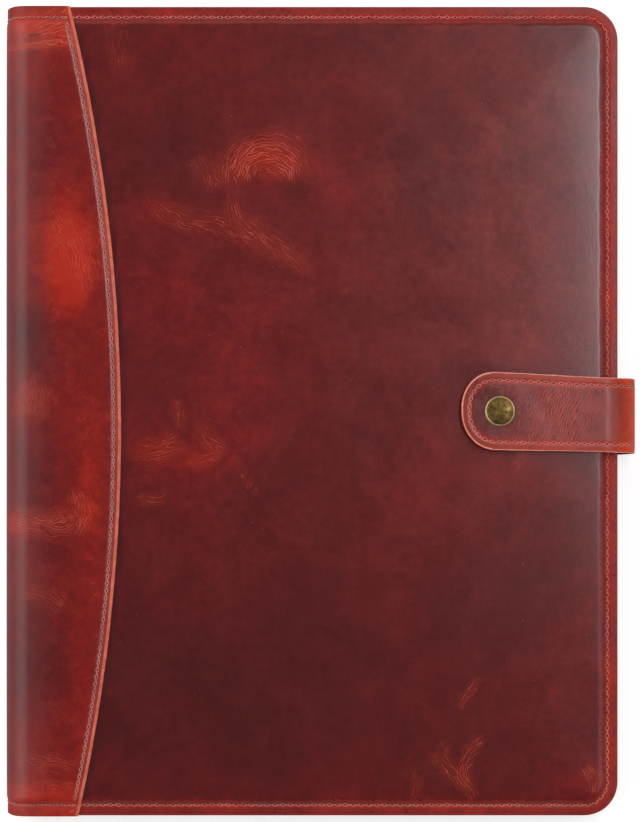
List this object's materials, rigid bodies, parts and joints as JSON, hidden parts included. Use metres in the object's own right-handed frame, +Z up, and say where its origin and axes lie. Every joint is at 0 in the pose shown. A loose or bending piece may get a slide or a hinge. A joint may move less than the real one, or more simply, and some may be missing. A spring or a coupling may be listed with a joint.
{
  "type": "padfolio",
  "caption": "Padded leather folder for a writing pad, with a hinged cover, a strap closed by a press stud, pockets and a pen loop.",
  "frame": {"origin": "middle of the footprint, on the surface the closed folder lies on", "axes": "+X from the spine to the fore-edge, +Y to the head of the cover, +Z up through the front cover"},
  "size_m": [0.2532, 0.3258, 0.0259],
  "materials": {
    "pull_up_leather": "waxed pull-up leather, worn satin",
    "overlay_leather": "waxed pull-up leather, redder, worn satin",
    "strap_leather": "waxed pull-up leather with raw edges",
    "lining_leather": "matt split leather",
    "thread": "twisted sewing thread",
    "foam": "soft padding felt",
    "grey_board": "plain grey board",
    "aged_brass": "aged brass with dark patina",
    "paper": "uncoated writing paper",
    "binding_tape": "cloth binding tape"
  },
  "bodies": {
    "back_cover": {"back_leather": "pull_up_leather", "back_overlay": "overlay_leather", "back_foam": "foam", "back_board": "grey_board", "back_lining": "lining_leather", "back_edge_thread": "thread", "back_overlay_thread": "thread", "pad_sleeve": "lining_leather", "strap_base": "strap_leather", "strap_base_thread": "thread"},
    "spine": {"spine_leather": "pull_up_leather", "spine_overlay": "overlay_leather", "spine_foam": "foam", "spine_lining": "lining_leather"},
    "front_cover": {"front_leather": "pull_up_leather", "front_overlay": "overlay_leather", "front_foam": "foam", "front_board": "grey_board", "front_lining": "lining_leather", "front_edge_thread": "thread", "front_overlay_thread": "thread", "document_pocket": "lining_leather", "card_pocket_1": "lining_leather", "card_pocket_2": "lining_leather", "card_pocket_3": "lining_leather", "pen_loop": "lining_leather", "snap_stud": "aged_brass", "snap_post": "aged_brass"},
    "strap_wrap": {"strap_wrap_leather": "strap_leather", "strap_wrap_lining": "lining_leather"},
    "strap_flap": {"strap_flap_leather": "strap_leather", "strap_flap_lining": "lining_leather", "strap_thread": "thread", "snap_cap": "aged_brass", "snap_socket": "aged_brass", "snap_spring": "aged_brass"},
    "notepad": {"notepad_backing": "grey_board", "notepad_sheets": "paper", "notepad_binding": "binding_tape"}
  },
  "joints": [
    {"name": "spine_hinge", "type": "hinge", "parent": "back_cover", "child": "spine", "pos_m": [-0.12436, 0, 0.00219], "axis": [0, -1, 0], "range_deg": [0, 90]},
    {"name": "cover_hinge", "type": "hinge", "parent": "spine", "child": "front_cover", "pos_m": [-0.12436, 0, 0.01821], "axis": [0, -1, 0], "range_deg": [0, 90]},
    {"name": "strap_base_hinge", "type": "hinge", "parent": "back_cover", "child": "strap_wrap", "pos_m": [0.12392, 0, 0.00263], "axis": [0, 1, 0], "range_deg": [0, 90]},
    {"name": "strap_flap_hinge", "type": "hinge", "parent": "strap_wrap", "child": "strap_flap", "pos_m": [0.12392, 0, 0.02187], "axis": [0, 1, 0], "range_deg": [0, 90]},
    {"name": "notepad_slide", "type": "slide", "parent": "back_cover", "child": "notepad", "axis": [0, 1, 0], "range_m": [0, 0.3]}
  ],
  "couplings": [
    {"joint": "spine_hinge", "follows": "cover_hinge", "ratio": 1}
  ]
}
